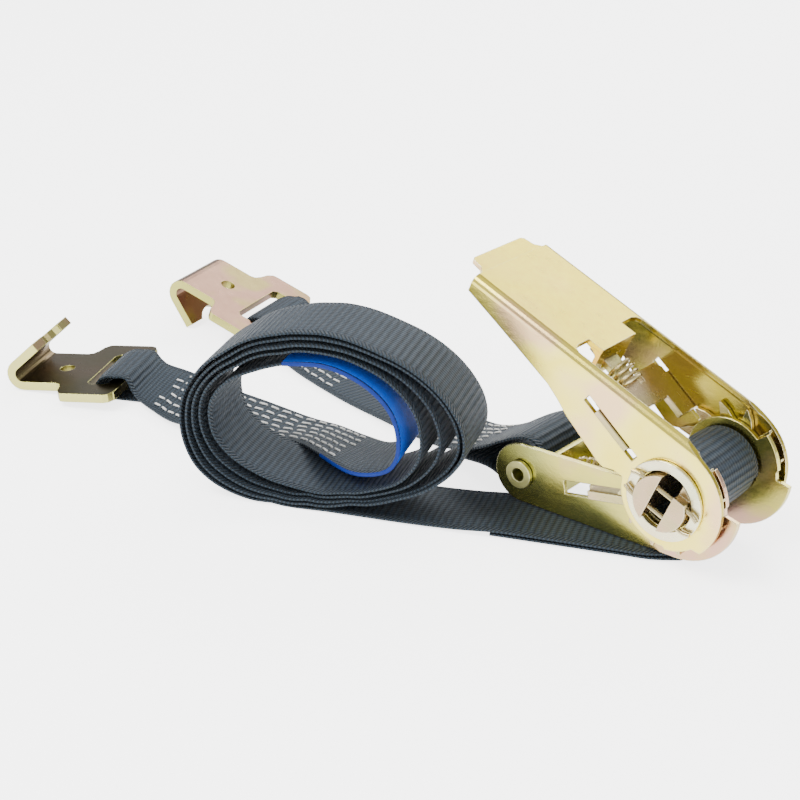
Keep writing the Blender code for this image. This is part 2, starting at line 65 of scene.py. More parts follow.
class Nodes:
    """A material's node tree, with the little helpers used below."""

    def __init__(self, name):
        self.material = bpy.data.materials.new(name)
        self.material.use_nodes = True
        self.tree = self.material.node_tree
        self.shader = self.tree.nodes["Principled BSDF"]

    def add(self, kind, inputs=None, **settings):
        node = self.tree.nodes.new(kind)
        for key, value in settings.items():
            setattr(node, key, value)
        for key, value in (inputs or {}).items():
            self.put(node.inputs[key], value)
        return node

    def put(self, socket, value):
        if isinstance(value, bpy.types.NodeSocket):
            self.tree.links.new(value, socket)
        else:
            socket.default_value = value

    def math(self, operation, a, b=0.0, c=0.0):
        node = self.add("ShaderNodeMath", operation=operation)
        for socket, value in zip(node.inputs, (a, b, c)):
            self.put(socket, value)
        return node.outputs[0]

    def noise(self, vector, scale, detail=3.0, roughness=0.55):
        node = self.add("ShaderNodeTexNoise", {"Scale": scale, "Detail": detail, "Roughness": roughness})
        self.put(node.inputs["Vector"], vector)
        return node.outputs["Fac"]

    def ramp(self, factor, stops):
        node = self.add("ShaderNodeValToRGB", {"Fac": factor})
        while len(node.color_ramp.elements) < len(stops):
            node.color_ramp.elements.new(0.5)
        for element, (place, colour) in zip(node.color_ramp.elements, stops):
            element.position = place
            element.color = (*colour, 1.0)
        return node.outputs["Color"]

    def mix(self, factor, a, b, blend="MIX"):
        node = self.add("ShaderNodeMix", data_type="RGBA", blend_type=blend)
        self.put(node.inputs[0], factor)
        for socket, value in ((node.inputs[6], a), (node.inputs[7], b)):
            self.put(socket, (*value, 1.0) if isinstance(value, tuple) else value)
        return node.outputs[2]

    def bump(self, height, strength, distance):
        return self.add("ShaderNodeBump", {"Height": height, "Strength": strength, "Distance": distance})

    def dot(self, a, b):
        return self.add("ShaderNodeVectorMath", {0: a, 1: b}, operation="DOT_PRODUCT").outputs["Value"]


EDGE_HIGHLIGHT_WIDTH = 0.0006                                     # metres, as every length in a material; how far the painted edge highlight reaches


def zinc(name, stops, roughness, patch=14.0, edge_highlight_colour=(0.80, 0.74, 0.48), seed=0.0,
         slope=0.0, middle=0.0, far_painted_shade=None, axis=(0, 1, 0), face=None, side=None):
    """Plated steel: slow drifts of colour, fine grain, drawn scratches, and a painted highlight that
    brightens the edges.

    side colours the faces square to axis, face colours the others, and a painted shade darkens the far square
    ones."""
    m = Nodes(name)
    where = m.add("ShaderNodeTexCoord").outputs["Object"]
    moved = m.add("ShaderNodeMapping", {"Vector": where, "Location": (seed, seed * 0.7, -seed)}).outputs[0]
    drift = m.noise(moved, patch, 2.0, 0.5)
    grain = m.noise(where, 1100.0, 3.0, 0.6)
    blotch = m.noise(moved, patch * 7.0, 3.0, 0.6)
    drawn_out = m.add("ShaderNodeMapping", {"Vector": where, "Scale": (90.0, 500.0, 900.0)}).outputs[0]
    streak = m.noise(drawn_out, 1.0)
    shifted = m.math("ADD", drift, m.math("MULTIPLY", m.math("SUBTRACT", blotch, 0.5), 0.08))
    place = m.add("ShaderNodeSeparateXYZ", {"Vector": where})
    if slope:
        climb = m.math("MULTIPLY", m.math("SUBTRACT", place.outputs["X"], middle), slope)
        shifted = m.math("ADD", shifted, climb)
    colour = m.ramp(shifted, stops)
    normal = m.add("ShaderNodeTexCoord").outputs["Normal"]
    square = m.math("SMOOTH_MAX", m.math("ABSOLUTE", m.dot(normal, axis)), 0.0, 0.1)
    if face:
        colour = m.mix(m.math("MULTIPLY", m.math("SUBTRACT", 1.0, square), 0.92), colour, face)
    if side:
        colour = m.mix(m.math("MULTIPLY", square, 0.9), colour, side)
    # Painted shade: the far side plate's faces square to the axis are darkened towards olive.
    if far_painted_shade:
        far = m.math("MULTIPLY", m.math("GREATER_THAN", place.outputs["Y"], 0.012), square)
        colour = m.mix(m.math("MULTIPLY", far, 0.8), colour, far_painted_shade, "MULTIPLY")
    colour = m.mix(m.math("MULTIPLY", grain, 0.10), colour, (0.40, 0.34, 0.16))
    # Painted highlight: the colour brightens towards every edge, within this width.
    edge = m.add("ShaderNodeBevel", {"Radius": EDGE_HIGHLIGHT_WIDTH}, samples=4)
    flat = m.add("ShaderNodeNewGeometry").outputs["Normal"]
    painted_edge_highlight = m.math("MULTIPLY", m.math("SUBTRACT", 1.0, m.dot(edge.outputs[0], flat)), 4.0)
    painted_edge_highlight = m.math("MINIMUM", m.math("MAXIMUM", painted_edge_highlight, 0.0), 0.8)
    colour = m.mix(painted_edge_highlight, colour, edge_highlight_colour)
    m.put(m.shader.inputs["Base Color"], colour)
    m.shader.inputs["Metallic"].default_value = 1.0
    rough = m.math("ADD", roughness, m.math("MULTIPLY", m.math("SUBTRACT", streak, 0.5), 0.12))
    rough = m.math("ADD", rough, m.math("MULTIPLY", m.math("SUBTRACT", blotch, 0.5), 0.08))
    m.put(m.shader.inputs["Roughness"], rough)
    bump = m.bump(m.math("ADD", grain, m.math("MULTIPLY", drift, 0.4)), 0.14, 0.00012)
    m.put(bump.inputs["Normal"], m.add("ShaderNodeBevel", {"Radius": 0.00035}, samples=4).outputs[0])
    m.put(m.shader.inputs["Normal"], bump.outputs[0])
    return m.material


def woven(name, dark, light, rib, edge=0.07):
    """Webbing with ribs across its width. UV x runs across it and y along it in millimetres."""
    m = Nodes(name)
    uv = m.add("ShaderNodeUVMap").outputs["UV"]
    split = m.add("ShaderNodeSeparateXYZ", {"Vector": uv})
    across, along = split.outputs["X"], split.outputs["Y"]
    where = m.add("ShaderNodeTexCoord").outputs["Object"]
    wobble = m.math("MULTIPLY", m.noise(where, 220.0, 2.0), 0.5)
    ribs = m.math("SINE", m.math("MULTIPLY", m.math("ADD", along, wobble), 2 * math.pi / rib))
    ribs = m.math("MULTIPLY", m.math("ADD", ribs, 1.0), 0.5)
    yarn = m.math("SINE", m.math("MULTIPLY", across, 2 * math.pi * 21))
    twill = m.math("SINE", m.math("ADD", m.math("MULTIPLY", along, 2 * math.pi / 1.25),
                                  m.math("MULTIPLY", across, 2 * math.pi * 14)))
    near_edge = m.math("GREATER_THAN", m.math("ABSOLUTE", m.math("SUBTRACT", across, 0.5)), 0.5 - edge)
    rounded = m.math("MULTIPLY", m.math("POWER", ribs, 0.7), 0.85)
    height = m.math("ADD", rounded, m.math("MULTIPLY", yarn, 0.07))
    edged = m.math("MULTIPLY", m.math("ADD", twill, 1.0), 0.45)
    mixed = m.add("ShaderNodeMix", data_type="FLOAT")
    for socket, value in ((mixed.inputs[0], near_edge), (mixed.inputs[2], height), (mixed.inputs[3], edged)):
        m.put(socket, value)
    height = mixed.outputs[0]
    fuzz = m.noise(where, 2600.0, 4.0, 0.7)
    tone = m.math("ADD", m.math("MULTIPLY", height, 0.70), m.math("MULTIPLY", fuzz, 0.30))
    tone = m.math("ADD", tone, m.math("MULTIPLY", m.math("SUBTRACT", m.noise(where, 30.0), 0.5), 0.3))
    colour = m.ramp(tone, [(0.12, dark), (0.85, light)])
    strand = m.math("MULTIPLY", m.math("ADD", twill, 1.0), 0.5)
    bead = m.ramp(strand, [(0.25, tuple(0.6 * part for part in dark)), (0.95, light)])
    colour = m.mix(m.math("MULTIPLY", near_edge, 0.8), colour, bead)
    m.put(m.shader.inputs["Base Color"], colour)
    m.shader.inputs["Roughness"].default_value = 0.6
    m.shader.inputs["Specular IOR Level"].default_value = 0.4
    m.shader.inputs["Specular Tint"].default_value = (0.70, 0.86, 1.0, 1.0)
    m.shader.inputs["Sheen Weight"].default_value = 0.06
    m.shader.inputs["Sheen Roughness"].default_value = 0.4
    bump = m.bump(m.math("ADD", height, m.math("MULTIPLY", fuzz, 0.25)), 0.85, 0.00042)
    m.put(m.shader.inputs["Normal"], bump.outputs[0])
    return m.material


def plain_cloth(name, colour, shade, scale):
    """Fine cloth or thread, mottled between two shades."""
    m = Nodes(name)
    where = m.add("ShaderNodeTexCoord").outputs["Object"]
    weave = m.noise(where, scale, 3.0, 0.7)
    m.put(m.shader.inputs["Base Color"], m.ramp(weave, [(0.3, shade), (0.7, colour)]))
    m.shader.inputs["Roughness"].default_value = 0.55
    m.shader.inputs["Specular IOR Level"].default_value = 0.25
    m.put(m.shader.inputs["Normal"], m.bump(weave, 0.5, 0.0002).outputs[0])
    return m.material


OLIVE, MOSS, PINK, LEMON = (0.15, 0.16, 0.035), (0.40, 0.39, 0.11), (0.60, 0.36, 0.27), (0.60, 0.53, 0.12)
ROSE, BUTTER, GOLD = (0.88, 0.60, 0.31), (0.96, 0.80, 0.20), (0.94, 0.79, 0.12)
# The handle's far side plate is given a painted olive shade.
HANDLE = zinc("handle_zinc",
              [(0.34, ROSE), (0.42, BUTTER), (0.51, GOLD), (0.60, BUTTER), (0.68, ROSE)],
              0.25, 30.0, far_painted_shade=(0.36, 0.35, 0.19), face=(0.41, 0.325, 0.014), seed=0.12)
FRAME = zinc("frame_zinc",
             [(0.20, OLIVE), (0.40, MOSS), (0.56, LEMON), (0.68, PINK), (0.84, LEMON)],
             0.23, 30.0, seed=0.31, slope=4.5, middle=0.098)
PAWLS = zinc("pawl_zinc",
             [(0.36, (0.44, 0.38, 0.17)), (0.50, (0.52, 0.40, 0.24)), (0.64, (0.48, 0.44, 0.17))],
             0.25, 40.0)
HOOK_1 = zinc("hook_1_zinc",
              [(0.36, (0.035, 0.028, 0.010)), (0.48, (0.055, 0.043, 0.016)),
               (0.62, (0.085, 0.050, 0.028)), (0.74, (0.080, 0.072, 0.020))],
              0.30, 34.0, (0.60, 0.58, 0.20),
              axis=tuple(joints["hook_1_hinge"]["axis"]), side=(0.58, 0.55, 0.18))
HOOK_2 = zinc("hook_2_zinc",
              [(0.34, (0.20, 0.15, 0.045)), (0.44, (0.21, 0.11, 0.075)),
               (0.56, (0.20, 0.10, 0.07)), (0.68, (0.19, 0.15, 0.04))],
              0.30, 44.0, (0.48, 0.45, 0.15),
              axis=tuple(joints["hook_2_hinge"]["axis"]), side=(0.46, 0.45, 0.12))
PALE = zinc("pale_zinc",
            [(0.36, (0.72, 0.72, 0.47)), (0.50, (0.84, 0.80, 0.54)), (0.64, (0.79, 0.68, 0.45))],
            0.28, 60.0, (0.78, 0.75, 0.62))
SPOOL = zinc("spool_zinc",
             [(0.36, (0.44, 0.34, 0.19)), (0.50, (0.50, 0.36, 0.23)), (0.64, (0.43, 0.39, 0.20))],
             0.28, 60.0, (0.74, 0.68, 0.48))
RIVET = zinc("rivet_zinc", [(0.4, (0.60, 0.58, 0.22)), (0.6, (0.74, 0.70, 0.30))],
             0.32, 60.0, (0.85, 0.82, 0.52))
SPRING = zinc("spring_wire", [(0.35, (0.42, 0.34, 0.16)), (0.65, (0.62, 0.51, 0.26))], 0.26, 60.0)
WEBBING = woven("slate_webbing", (0.0035, 0.0048, 0.0062), (0.018, 0.028, 0.041), 2.05)
LABEL = plain_cloth("blue_label", (0.004, 0.12, 0.80), (0.002, 0.075, 0.58), 1500.0)
# The hem is the same blue cloth as the label, painted a darker blue as shade.
HEM_PAINTED_SHADE = plain_cloth("label_edge_painted_shade", (0.0, 0.022, 0.21), (0.0, 0.015, 0.16), 1500.0)
THREAD = plain_cloth("white_thread", (0.80, 0.79, 0.76), (0.50, 0.50, 0.48), 3000.0)

finishes = {
    HANDLE: ["handle"],
    PAWLS: ["drive_pawl", "lock_pawl", "gear_near", "gear_far"],
    FRAME: ["frame_plate_near", "frame_plate_far", "frame_bridge"],
    HOOK_1: ["hook_1"],
    HOOK_2: ["hook_2"],
    PALE: ["disc_near", "disc_far"],
    RIVET: ["frame_bolt"],
    SPOOL: ["spool_half_a", "spool_half_b"],
    SPRING: ["pin_near_1", "pin_near_2", "pin_far_1", "pin_far_2"],
}
for finish, names in finishes.items():
    for name in names:
        data = frame["nodes"][name].data
        data.materials.clear()
        data.materials.append(finish)


def piece(name, points, faces, material, body):
    """A smooth closed piece that rides on a body. Its points are in metres."""
    mesh = bpy.data.meshes.new(name)
    mesh.from_pydata([tuple(point) for point in points], [], faces)
    for face in mesh.polygons:
        face.use_smooth = True
    mesh.materials.append(material)
    obj = bpy.data.objects.new(name, mesh)
    bpy.context.scene.collection.objects.link(obj)
    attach(obj, body)
    return obj


# ---- Springs -------------------------------------------------------------------------------------

WIRE = 0.45                                             # half the wire's thickness
PER_COIL = 20                                           # points in each turn of a spring
FLAT_SHARE = 0.12                                       # of the wire, lying flat at each end


def spring_coil(name, base, tip, radius, turns, body):
    """A compression spring from base to tip."""
    along = (tip - base).normalized()
    side = along.cross(Vector((0, 1, 0))).normalized()
    other = along.cross(side)
    length = (tip - base).length - 2 * WIRE
    steps, sides = round(turns * PER_COIL), 8
    points, faces = [], []
    for i in range(steps + 1):
        share = i / steps
        climb = min(max((share - FLAT_SHARE) / (1 - 2 * FLAT_SHARE), 0.0), 1.0)
        turn = 2 * math.pi * turns * share
        out = side * math.cos(turn) + other * math.sin(turn)
        core = base + along * (WIRE + length * climb) + out * radius
        for k in range(sides):
            swing = 2 * math.pi * k / sides
            points.append((core + (out * math.cos(swing) + along * math.sin(swing)) * WIRE + HUB) * MM)
    for i in range(steps):
        for k in range(sides):
            n = (k + 1) % sides
            faces.append((i * sides + k, (i + 1) * sides + k, (i + 1) * sides + n, i * sides + n))
    faces.append(tuple(range(sides)))
    faces.append(tuple(steps * sides + k for k in range(sides - 1, -1, -1)))
    obj = piece(name, points, faces, SPRING, body)
    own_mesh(obj)
    return obj


# The drive spring lies along the handle, between its pawl and its seat under the grip plate.
HANDLE_LEAN = math.radians(140)
along_handle = Vector((math.cos(HANDLE_LEAN), 0, math.sin(HANDLE_LEAN)))
drive_tip, drive_seat = along_handle * 32.6, along_handle * 39.3
drive_coil = spring_coil("drive_spring_coil", drive_tip, drive_seat, 4.6, 4.0, "handle")
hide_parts("drive_spring")

# The lock spring lies between the frame's bridge and the lock pawl, along the pawl's slide.
LOCK_TILT = math.radians(10)
LOCK_REACH, LOCK_LENGTH = 41.6, 11.0
along_slide = Vector((math.cos(LOCK_TILT), 0, math.sin(LOCK_TILT)))
lock_seat = Vector((0.556, 0, -3.15)) - along_slide * LOCK_REACH
lock_tip = lock_seat + along_slide * LOCK_LENGTH
lock_coil = spring_coil("lock_spring_coil", lock_seat, lock_tip, 3.7, 5.5, "frame")
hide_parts("lock_spring")


# ---- Webbing helpers -----------------------------------------------------------------------------

STEP = 2.0                                              # between crossings along a rail


def flow(rail):
    """A smooth rail through (near, far) pairs, with crossings about STEP apart."""
    fine = []
    for i in range(len(rail) - 1):
        four = [rail[max(i - 1, 0)], rail[i], rail[i + 1], rail[min(i + 2, len(rail) - 1)]]
        span = max((four[2][0] - four[1][0]).length, (four[2][1] - four[1][1]).length)
        count = max(1, round(span / STEP))
        for j in range(count):
            t = j / count
            pair = []
            for k in range(2):
                a, b, c, d = (pair_at[k] for pair_at in four)
                pair.append(0.5 * (2 * b + (c - a) * t + (2 * a - 5 * b + 4 * c - d) * t * t
                                   + (3 * b - a - 3 * c + d) * t ** 3))
            fine.append(tuple(pair))
    fine.append(rail[-1])
    return fine


def even(rail):
    """The same rail with every crossing drawn out or in to the webbing's width."""
    result = []
    for near, far in rail:
        middle, half = (near + far) / 2, (far - near).normalized() * (WEB_W / 2)
        result.append((middle - half, middle + half))
    return result


def lifts(rail):
    """The unit normal of the webbing at each crossing."""
    middles = [(near + far) / 2 for near, far in rail]
    result = []
    for i, (near, far) in enumerate(rail):
        ahead = middles[min(i + 1, len(rail) - 1)] - middles[max(i - 1, 0)]
        result.append(ahead.cross(far - near).normalized())
    return result


def lengths(rail):
    """How far along the rail each crossing lies."""
    total, result = 0.0, [0.0]
    for (a, b), (c, d) in zip(rail, rail[1:]):
        total += ((c + d) / 2 - (a + b) / 2).length
        result.append(total)
    return result


def band(name, rail, material, body, thickness=WEB_T, columns=8):
    """A closed strip of webbing along a rail, its long edges a little rounded."""
    normals, along = lifts(rail), lengths(rail)
    profile = []
    for i in range(columns + 1):
        share = i / columns
        edge = min(share, 1 - share) * WEB_W
        profile.append((share, thickness / 2 * min(1.0, 0.55 + 0.45 * edge / 1.5)))
    ring = profile + [(share, -rise) for share, rise in reversed(profile)]
    points, marks = [], []
    for (near, far), lift, distance in zip(rail, normals, along):
        for share, rise in ring:
            point = (near.lerp(far, share) + lift * rise + HUB) * MM
            points.append((point.x, point.y, max(point.z, 0.0)))
            marks.append((share, distance))
    size, faces = len(ring), []
    for i in range(len(rail) - 1):
        for j in range(size):
            k = (j + 1) % size
            faces.append((i * size + j, i * size + k, (i + 1) * size + k, (i + 1) * size + j))
    last = (len(rail) - 1) * size
    for j in range(columns):
        faces.append((j, size - 1 - j, size - 2 - j, j + 1))
        faces.append((last + j, last + j + 1, last + size - 2 - j, last + size - 1 - j))
    obj = piece(name, points, faces, material, body)
    layer = obj.data.uv_layers.new(name="UVMap")
    for loop in obj.data.loops:
        layer.data[loop.index].uv = marks[loop.vertex_index]
    obj.data.validate()
    obj.data.set_sharp_from_angle(angle=math.radians(50))
    return obj


ROWS = (0.12, 0.27, 0.42, 0.58, 0.73, 0.88)             # of stitches, as shares of the webbing's width
DASH, DASH_GAP = 3.5, 1.2
LEAN = 0.0072                                           # how far a stitch leans, as a share of the width
ROW_SHIFT = 1.1
THREAD_SHAPE = ((0.0, 0.14), (0.14, 0.42), (0.86, 0.42), (1.0, 0.14))     # place along a stitch, and girth
ARCH, DIVE = 0.16, 0.25                                 # a stitch's rise in the middle, and dip at its ends


def stitching(name, rail, start, end):
    """Rows of thread on the upper side of the webbing, between two distances along the rail."""
    normals, along = lifts(rail), lengths(rail)
    points, faces = [], []

    def spot(distance, share, rise):
        i = next((n for n in range(1, len(along)) if along[n] >= distance), len(along) - 1)
        t = (distance - along[i - 1]) / max(along[i] - along[i - 1], 1e-6)
        near = rail[i - 1][0].lerp(rail[i][0], t)
        far = rail[i - 1][1].lerp(rail[i][1], t)
        return near.lerp(far, share) - normals[i] * rise

    on_top = WEB_T / 2 + 0.12
    for row, share in enumerate(ROWS):
        place = start + (row % 3) * ROW_SHIFT
        swing = 1.0
        while place + DASH < end:
            a = spot(place, share + LEAN * swing, on_top)
            b = spot(place + DASH, share - LEAN * swing, on_top)
            ahead = (b - a).normalized()
            lift = (spot(place, share, 5.0) - spot(place, share, 0.0)).normalized()
            wide = ahead.cross(lift).normalized()
            base = len(points)
            for t, girth in THREAD_SHAPE:
                rise = ARCH * math.sin(math.pi * t) - (DIVE if t in (0.0, 1.0) else 0.0)
                core = a.lerp(b, t) + lift * rise
                for k in range(6):
                    turn = math.pi * k / 3
                    point = core + (wide * math.cos(turn) + lift * math.sin(turn) * 0.7) * girth
                    points.append((point + HUB) * MM)
            for ring in range(3):
                for k in range(6):
                    n = (k + 1) % 6
                    faces.append((base + ring * 6 + k, base + ring * 6 + n, base + ring * 6 + 6 + n,
                                  base + ring * 6 + 6 + k))
            faces.append(tuple(base + k for k in range(5, -1, -1)))
            faces.append(tuple(base + 18 + k for k in range(6)))
            place += DASH + DASH_GAP
            swing = -swing
    return piece(name, points, faces, THREAD, "frame")


def at_roll(u, v, height):
    """A point from its distance along the run, its distance across it, and its height over the floor."""
    return RUN_START + RUN_U * u + RUN_V * v + Vector((0, 0, height))


LOOP_RISE, LOOP_END = 3.9, 6.0                          # of the webbing's middle, from the middle of the bar


def bar_loop(bar, joint, reach, drop):
    """The rail that comes back over a hook's bar, round it, and a little way out underneath."""
    across = Vector(joints[joint]["axis"])
    ahead = across.cross(Vector((0, 0, 1)))
    up = Vector((0, 0, 1))
    half = across * (WEB_W / 2)
    middles = [bar + ahead * 4.0 + up * LOOP_RISE]
    for degrees in (80, 110, 140, 170, 200, 230, 260):
        turn = math.radians(degrees)
        middles.append(bar + ahead * (LOOP_END * math.cos(turn) - 1.0) + up * math.sin(turn) * LOOP_RISE)
    middles.append(bar + ahead * 4.0 - up * LOOP_RISE)
    middles.append(bar + ahead * reach - up * drop)
    return [(middle - half, middle + half) for middle in middles]


# ---- Long strap: spool, floor, roll, and out to hook 1 -------------------------------------------

CENTRE = (-6.0, 26.0)                                   # of the roll: along the run, and over the floor


def clockwise(path):
    """Angle from straight down and radius, of points that go round the roll's centre."""
    result = []
    for u, height in path:
        x, z = u - CENTRE[0], height - CENTRE[1]
        result.append((math.degrees(math.atan2(-x, -z)) % 360.0, math.hypot(x, z)))
    return sorted(result)


def radius_at(table, degrees):
    """The outline's radius at an angle, from the two points on either side of it."""
    degrees %= 360.0
    wrapped = [(table[-1][0] - 360.0, table[-1][1])] + table + [(table[0][0] + 360.0, table[0][1])]
    for (a, ra), (b, rb) in zip(wrapped, wrapped[1:]):
        if a <= degrees <= b:
            return ra + (rb - ra) * (degrees - a) / max(b - a, 1e-9)
    return table[0][1]


outer_turn = clockwise([
    (-6, 0.7), (-17, 0.8), (-28.5, 1.5), (-37.0, 4.9), (-42.8, 10.5), (-45.7, 18.2), (-46, 26.3), (-44.5, 33),
    (-40, 40), (-31.4, 47.3), (-25.4, 51.3), (-16.1, 54.6), (-6.9, 56.4), (5.1, 56.3), (15.0, 53.6),
    (24.6, 50.1), (34.0, 43.7), (39.8, 36.6), (42.6, 29.2), (41.3, 22.6), (37.5, 17.5), (31, 12.0), (21, 7.2),
    (7.6, 3.4)])
inner_turn = clockwise([
    (-6, 6.4), (-17.7, 7.0), (-27.2, 10.7), (-33.1, 14.7), (-36.8, 20.9), (-37.8, 28.3), (-35.9, 34.1),
    (-31.3, 39.4), (-25.6, 42.9), (-12.7, 47.9), (-1, 49.4), (10, 48.0), (19.5, 43.6), (26, 36.8),
    (28.2, 27.6), (26.8, 19.6), (22.2, 13.8), (14.2, 10.0), (4.5, 7.6)])
TURNS = 4
PER_TURN = 44
# How far the spiral has closed in from the outer outline to the inner one, at each quarter turn.
CLOSED = (0, 0, 0, 0, 0.25, 0.26, 0.23, 0.13, 0.49, 0.50, 0.49, 0.52, 0.75, 0.77, 0.76, 0.90, 1.0)


def closed_at(turns):
    """The same, eased between the quarter turns."""
    place = min(turns * 4, len(CLOSED) - 1.001)
    low = int(place)
    t = place - low
    t = t * t * (3 - 2 * t)
    return CLOSED[low] * (1 - t) + CLOSED[low + 1] * t


UPTURN = Vector((-3.5, 0.0, -15.9))                     # centre of the bend from the floor up to the spool
SQUARED = 130                                           # degrees up the bend at which the strap is square


def upturn(climb, radius):
    """A crossing on the bend, climb degrees up from the floor, turning square to the spool on its way."""
    turn, twist = math.radians(climb - 90), RUN_ANGLE * max(0.0, 1 - climb / SQUARED)
    across = Vector((-math.sin(twist), math.cos(twist), 0)) * (WEB_W / 2)
    middle = UPTURN + Vector((math.cos(turn), 0.0, math.sin(turn))) * radius
    return middle - across, middle + across


bend = [upturn(climb, 3.8) for climb in range(180, -1, -15)]
start_up = [(Vector((-8.0, -12.5, -11.0)), Vector((-8.0, 12.5, -11.0)))]
run = [(at_roll(t, 0, h), at_roll(t, WEB_W, h)) for t, h in
       ((96, 2.1), (84, 2.1), (66, 2.15), (52, 2.1), (40, 1.2), (26, 0.75), (10, 0.7), (0, 0.7))]
spiral = []
for i in range(TURNS * PER_TURN + 1):
    degrees, share = 360.0 * i / PER_TURN, closed_at(i / PER_TURN)
    radius = radius_at(outer_turn, degrees) * (1 - share) + radius_at(inner_turn, degrees) * share
    u = CENTRE[0] - radius * math.sin(math.radians(degrees))
    height = CENTRE[1] - radius * math.cos(math.radians(degrees))
    drift = 0.5 * math.sin(degrees * 0.013) + 0.25 * math.sin(degrees * 0.041)
    spiral.append((at_roll(u, drift, height), at_roll(u, WEB_W + drift, height)))
last_turn = [(at_roll(u, 0, h), at_roll(u, WEB_W, h)) for u, h in
             ((-17.5, 8.4), (-26.6, 12.1), (-32.0, 16.1), (-35.6, 21.3), (-36.5, 28.2), (-34.7, 33.6),
              (-30.4, 38.4), (-25, 41.6), (-12.7, 46.2), (-1, 47.1), (8, 44.8), (15.3, 40.4), (20.4, 34.2),
              (22.3, 26.4), (21.3, 19.8), (17.0, 15.8))]
leaving = [(at_roll(*near), at_roll(*far)) for near, far in (
    ((6.5, 3.3, 13.0), (10.8, 27.8, 12.0)), ((-7.5, 15.8, 11.0), (-1.2, 39.6, 7.4)),
    ((-19.6, 26.4, 8.6), (-13.2, 50.0, 4.4)), ((-32.2, 28.5, 7.2), (-23.6, 51.8, 5.0)))]
to_hook = [(Vector(near), Vector(far)) for near, far in (
    ((-152.0, -40.6, -16.0), (-154.0, -15.8, -15.6)),
    ((-171.0, -41.0, -19.2), (-172.0, -16.6, -15.2)), ((-186.0, -38.0, -19.6), (-191.8, -14.6, -15.8)),
    ((-196.0, -36.2, -18.2), (-204.9, -13.0, -16.6)))]
loop_1 = bar_loop(BAR_1, "hook_1_hinge", 13.0, 3.8)
long_rail = even(flow(start_up + bend + run) + flow(spiral[1:] + last_turn + leaving + to_hook + loop_1))
long_strap = band("long_strap", long_rail, WEBBING, "frame")
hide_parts("strap_run", "strap_roll", "strap_inner")
long_length = lengths(long_rail)[-1]

# The tail lies under the run, and follows it up the outside of the bend.
tail_floor = [(at_roll(t, 0.5, 0.65), at_roll(t, WEB_W + 0.5, 0.65)) for t in (50, 70, 88, 97)]
tail_rail = even(flow(tail_floor + [upturn(climb, 5.3) for climb in range(15, SQUARED, 15)]))
strap_tail = band("strap_tail_webbing", tail_rail, WEBBING, "frame")
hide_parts("strap_tail")

# Blue label: sewn to the outer face of the innermost turn, with a hem folded over the webbing's near edge.
LABEL_T, LABEL_LIFT = 0.3, 0.73
LABEL_NEAR, LABEL_FAR = 0.04, 0.9                       # its long edges, as shares of the webbing's width
HEM_T, HEM_LIFT = 1.25, 0.2
HEM_NEAR, HEM_FAR = -0.01, 0.012


def raised(pairs, rise):
    return [(near + lift * rise, far + lift * rise) for (near, far), lift in zip(pairs, lifts(pairs))]


label_path = even(flow(last_turn[-8:] + leaving[:2]))
label_rail = raised([(a.lerp(b, LABEL_NEAR), a.lerp(b, LABEL_FAR)) for a, b in label_path], LABEL_LIFT)
label = band("label_cloth", label_rail, LABEL, "frame", LABEL_T, 6)
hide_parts("label")
hem_rail = [(a.lerp(b, HEM_NEAR), a.lerp(b, HEM_FAR)) for a, b in raised(label_path, HEM_LIFT)]
label_hem = band("label_hem", hem_rail, HEM_PAINTED_SHADE, "frame", HEM_T, 2)


# ---- Short strap: round the frame bolt and out to hook 2 -----------------------------------------

short_stations = [(Vector(near), Vector(far)) for near, far in (
    ((-79.5, -10.0, -14.4), (-77.0, 14.6, -14.4)), ((-66.0, -12.2, -12.6), (-66.0, 12.4, -12.6)),
    ((-58.0, -12.5, -15.4), (-58.0, 12.5, -15.4)), ((-51.5, -12.5, -16.2), (-51.5, 12.5, -16.2)),
    ((-47.2, -12.5, -13.4), (-47.2, 12.5, -13.4)), ((-45.9, -12.5, -8.0), (-45.9, 12.5, -8.0)),
    ((-46.3, -12.5, -2.4), (-46.3, 12.5, -2.4)), ((-49.5, -12.5, 0.6), (-49.5, 12.5, 0.6)),
    ((-54.5, -12.5, 0.2), (-54.5, 12.5, 0.2)), ((-61.0, -12.5, -3.0), (-61.0, 12.5, -3.0)),
    ((-70.5, -11.6, -8.4), (-69.0, 13.2, -8.4)), ((-83.0, -8.0, -13.6), (-79.0, 16.6, -13.6)),
    ((-97.0, -2.6, -17.6), (-90.8, 21.6, -17.6)), ((-120.0, 4.8, -20.2), (-114.0, 29.0, -20.2)),
    ((-148.0, 10.8, -20.8), (-142.0, 35.1, -20.8)), ((-178.6, 19.4, -19.9), (-172.8, 43.6, -19.9)),
    ((-190.0, 28.0, -17.4), (-190.0, 53.0, -17.4)))]
short_rail = even(flow(short_stations + bar_loop(BAR_2, "hook_2_hinge", 11.0, 4.0)))
short_strap = band("short_strap_webbing", short_rail, WEBBING, "frame")
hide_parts("short_strap")
short_length = lengths(short_rail)[-1]

# ---- Webbing on the spool ------------------------------------------------------------------------

SLOT_TURN = math.radians(67.0)                          # of the spool's slot, where the webbing comes out
WOUND_T = 1.0
WOUND_STEPS, WOUND_STEP = 99, math.radians(8.0)
WOUND_INNER, WOUND_RISE = 8.95, 2.0                     # radius at the slot, and how far the turns build up
across_spool = Vector((0, WEB_W / 2, 0))
wound = []
for i in range(WOUND_STEPS + 1):
    turn = SLOT_TURN - WOUND_STEP * i
    radius = WOUND_INNER + WOUND_RISE * min(1.0, i / 96)
    point = Vector((radius * math.cos(turn), 0, radius * math.sin(turn)))
    wound.append((point - across_spool, point + across_spool))
spool_webbing = band("spool_webbing_turns", wound, WEBBING, "spool", WOUND_T)
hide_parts("spool_webbing")

# ---- Stitching -----------------------------------------------------------------------------------


def distance_to(rail, point, near_end=True):
    """How far along the rail its middle is closest to a point. near_end keeps to the rail's last quarter."""
    along = lengths(rail)
    places = range(len(rail) * 3 // 4, len(rail)) if near_end else range(len(rail))
    best = min(places, key=lambda i: ((rail[i][0] + rail[i][1]) / 2 - point).length)
    return along[best]


